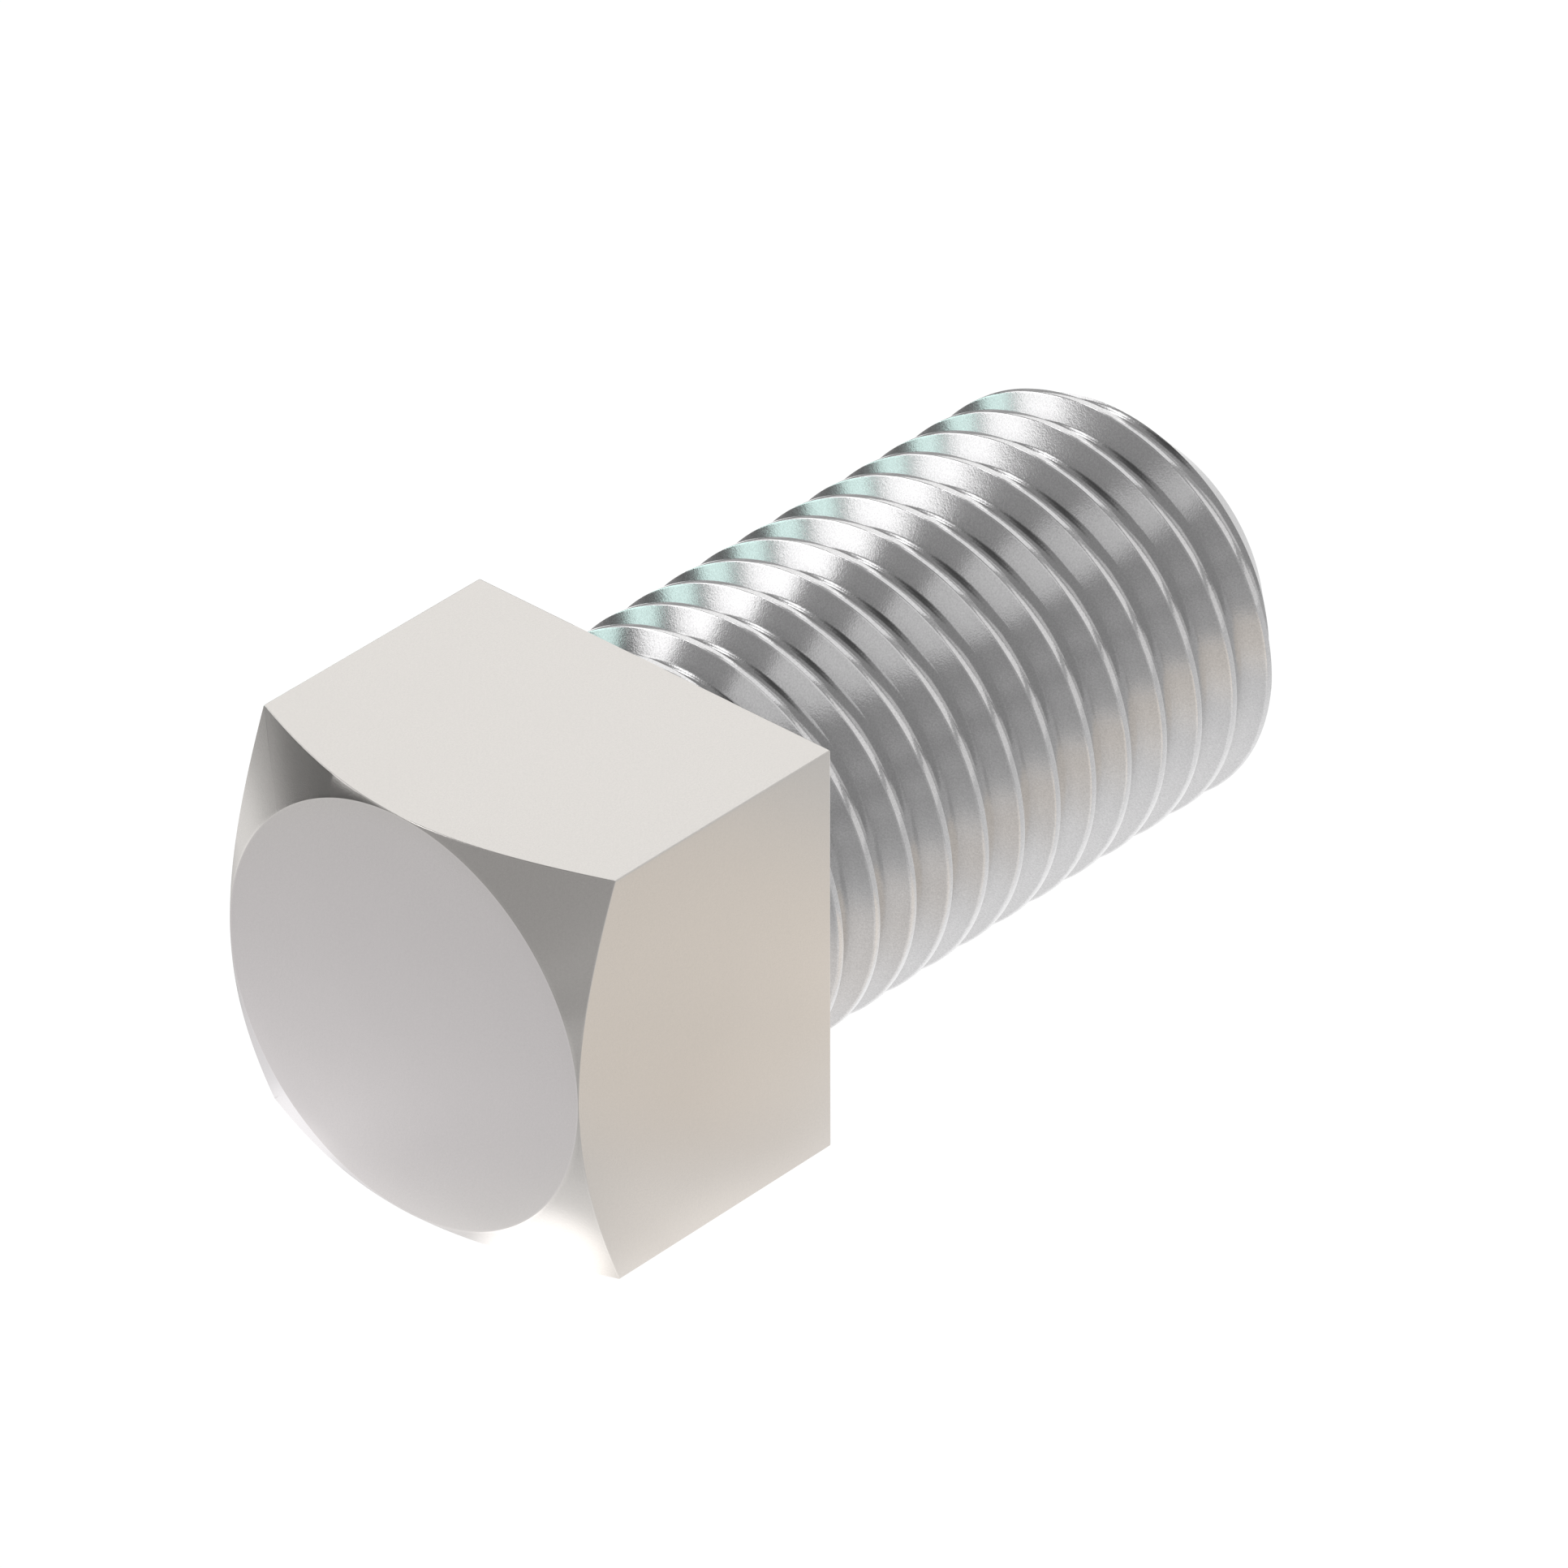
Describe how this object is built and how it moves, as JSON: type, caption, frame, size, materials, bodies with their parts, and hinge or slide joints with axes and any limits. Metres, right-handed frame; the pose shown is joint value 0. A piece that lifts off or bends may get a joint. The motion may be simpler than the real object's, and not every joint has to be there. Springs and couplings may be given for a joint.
{
  "type": "square head set screw",
  "caption": "Square head set screw: a wrench-driven square head with a chamfered round end, a shank threaded up to the head, and a cup point.",
  "frame": {"origin": "on the screw's axis, in the plane of the head's underside, where the thread starts", "axes": "+X along the axis from the head to the point, +Z square to the upper flat of the head, as the screw lies on its lower flat"},
  "size_m": [0.0745, 0.0314, 0.0314],
  "materials": {
    "screw_steel": "satin"
  },
  "bodies": {
    "root": {"set_screw": "screw_steel"}
  },
  "joints": []
}
